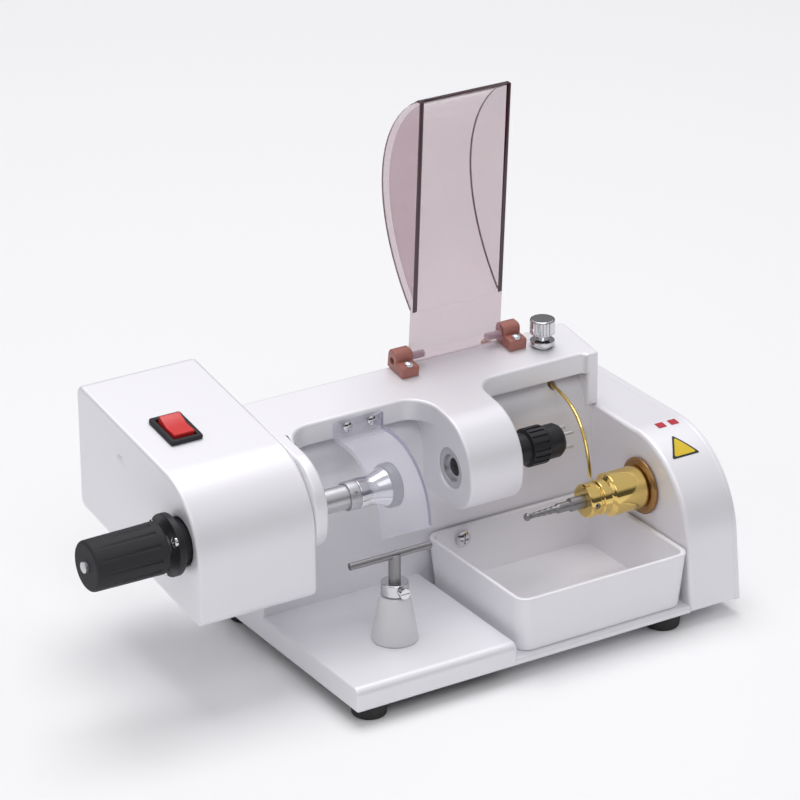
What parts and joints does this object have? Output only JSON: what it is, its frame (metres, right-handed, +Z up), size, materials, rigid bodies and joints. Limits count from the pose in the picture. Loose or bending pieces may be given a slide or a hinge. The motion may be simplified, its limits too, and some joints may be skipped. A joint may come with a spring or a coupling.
{
  "type": "lapidary drilling and polishing machine",
  "caption": "Bench lapidary machine with a cast base and sloping arm, a hand-turned lap spindle, a brass drill spindle, hinged hood, clear shield, water tray and tool rest.",
  "frame": {"origin": "on the bench surface, under the middle of the overall box", "axes": "+Z up from the bench, +X along the spindles from the hand knob to the drill head, +Y from the front edge to the back"},
  "size_m": [0.29, 0.146, 0.2292],
  "materials": {
    "white_enamel": "gloss white enamel",
    "dark_plate": "satin black paint",
    "zinc_screws": "plated",
    "foot_rubber": "matt",
    "spindle_steel": "ground",
    "black_plastic": "satin black",
    "black_metal": "blackened",
    "hub_chrome": "mirror",
    "cup_dark": "dark rim",
    "pulley_alloy": "turned",
    "belt_rubber": "matt",
    "motor_steel": "zinc plated",
    "bronze": "bronze",
    "bright_brass": "polished",
    "burr_steel": "dark steel",
    "rocker_red": "gloss red",
    "blue_film": "gloss",
    "ivory_plastic": "satin",
    "valve_nickel": "knurled nickel",
    "hose_clear": "clear vinyl",
    "tinted_acrylic": "tinted clear",
    "hinge_amber": "translucent red",
    "clear_acrylic": "clear",
    "tray_plastic": "white",
    "post_paint": "satin light grey"
  },
  "bodies": {
    "frame": {"base_casting": "white_enamel", "arm_casting": "white_enamel", "drill_head_shell": "white_enamel", "drill_head_cover": "white_enamel", "motor_housing": "white_enamel", "housing_end_plate": "dark_plate", "bottom_cover": "dark_plate", "rear_cover": "white_enamel", "cover_screws": "zinc_screws", "feet": "foot_rubber", "foot_screws": "zinc_screws", "bearing_flange": "black_metal", "flange_screws": "zinc_screws", "work_bearings": "spindle_steel", "work_belt": "belt_rubber", "work_motor": "motor_steel", "nose_bushing": "spindle_steel", "drill_bearings": "spindle_steel", "drill_belt": "belt_rubber", "drill_motor": "motor_steel", "switch_body": "black_plastic", "power_inlet": "black_plastic", "motor_capacitor": "blue_film", "terminal_block": "ivory_plastic", "coolant_tube": "bright_brass", "valve_body": "valve_nickel", "hose_barb": "bright_brass", "coolant_hose": "hose_clear", "hinge_blocks": "hinge_amber", "hinge_pins": "spindle_steel", "hinge_screws": "zinc_screws", "wheel_shield": "clear_acrylic", "shield_screws": "zinc_screws", "tray": "tray_plastic", "tray_screw": "zinc_screws", "rest_post": "post_paint"},
    "work_rotor": {"work_spindle": "spindle_steel", "hand_knob": "black_plastic", "shaft_collar": "spindle_steel", "flared_hub": "hub_chrome", "lap_cup": "cup_dark", "work_pulley": "pulley_alloy"},
    "work_motor_rotor": {"work_motor_pulley": "pulley_alloy"},
    "chuck_rotor": {"chuck_spindle": "spindle_steel", "chuck_body": "black_metal", "chuck_prongs": "spindle_steel"},
    "drill_rotor": {"drill_spindle": "spindle_steel", "seal_disc": "bronze", "brass_chuck": "bright_brass", "chuck_set_screw": "burr_steel", "drill_burr": "burr_steel", "drill_pulley": "pulley_alloy"},
    "drill_motor_rotor": {"drill_motor_pulley": "pulley_alloy"},
    "rocker": {"switch_rocker": "rocker_red"},
    "hood": {"splash_hood": "tinted_acrylic"},
    "valve": {"valve_knob": "valve_nickel"},
    "rest_swivel": {"rest_collar": "spindle_steel"},
    "rest_clamp": {"rest_clamp_screw": "zinc_screws"},
    "rest_slide": {"rest_stem": "burr_steel", "rest_rod": "burr_steel"}
  },
  "joints": [
    {"name": "work_spin", "type": "hinge", "parent": "frame", "child": "work_rotor", "pos_m": [-0.05, -0.016, 0.0755], "axis": [1, 0, 0], "continuous": true},
    {"name": "work_motor_spin", "type": "hinge", "parent": "frame", "child": "work_motor_rotor", "pos_m": [-0.09, 0.051, 0.084], "axis": [1, 0, 0], "continuous": true},
    {"name": "chuck_spin", "type": "hinge", "parent": "frame", "child": "chuck_rotor", "pos_m": [0.05, -0.016, 0.0755], "axis": [1, 0, 0], "continuous": true},
    {"name": "drill_spin", "type": "hinge", "parent": "frame", "child": "drill_rotor", "pos_m": [0.1, -0.034, 0.0525], "axis": [1, 0, 0], "continuous": true},
    {"name": "drill_motor_spin", "type": "hinge", "parent": "frame", "child": "drill_motor_rotor", "pos_m": [0.128, 0.027, 0.042], "axis": [1, 0, 0], "continuous": true},
    {"name": "rocker_press", "type": "hinge", "parent": "frame", "child": "rocker", "pos_m": [-0.08, 0.0223, 0.10403], "axis": [1, 0, 0], "range_deg": [-12, 0]},
    {"name": "hood_swing", "type": "hinge", "parent": "frame", "child": "hood", "pos_m": [0.06, 0.0275, 0.1099], "axis": [1, 0, 0], "range_deg": [0, 91]},
    {"name": "valve_turn", "type": "hinge", "parent": "frame", "child": "valve", "pos_m": [0.101, 0.018, 0.11], "axis": [0, 0, 1], "range_deg": [-270, 0]},
    {"name": "rest_turn", "type": "hinge", "parent": "frame", "child": "rest_swivel", "pos_m": [-0.012, -0.041, 0.042], "axis": [0, 0, 1], "range_deg": [-90, 90]},
    {"name": "rest_clamp_turn", "type": "hinge", "parent": "rest_swivel", "child": "rest_clamp", "pos_m": [-0.012, -0.049, 0.0415], "axis": [0, 1, 0], "range_deg": [0, 180]},
    {"name": "rest_lift", "type": "slide", "parent": "rest_swivel", "child": "rest_slide", "axis": [0, 0, 1], "range_m": [-0.008, 0.002]}
  ],
  "couplings": [
    {"joint": "work_motor_spin", "follows": "work_spin", "ratio": 2},
    {"joint": "drill_motor_spin", "follows": "drill_spin", "ratio": 0.5}
  ]
}
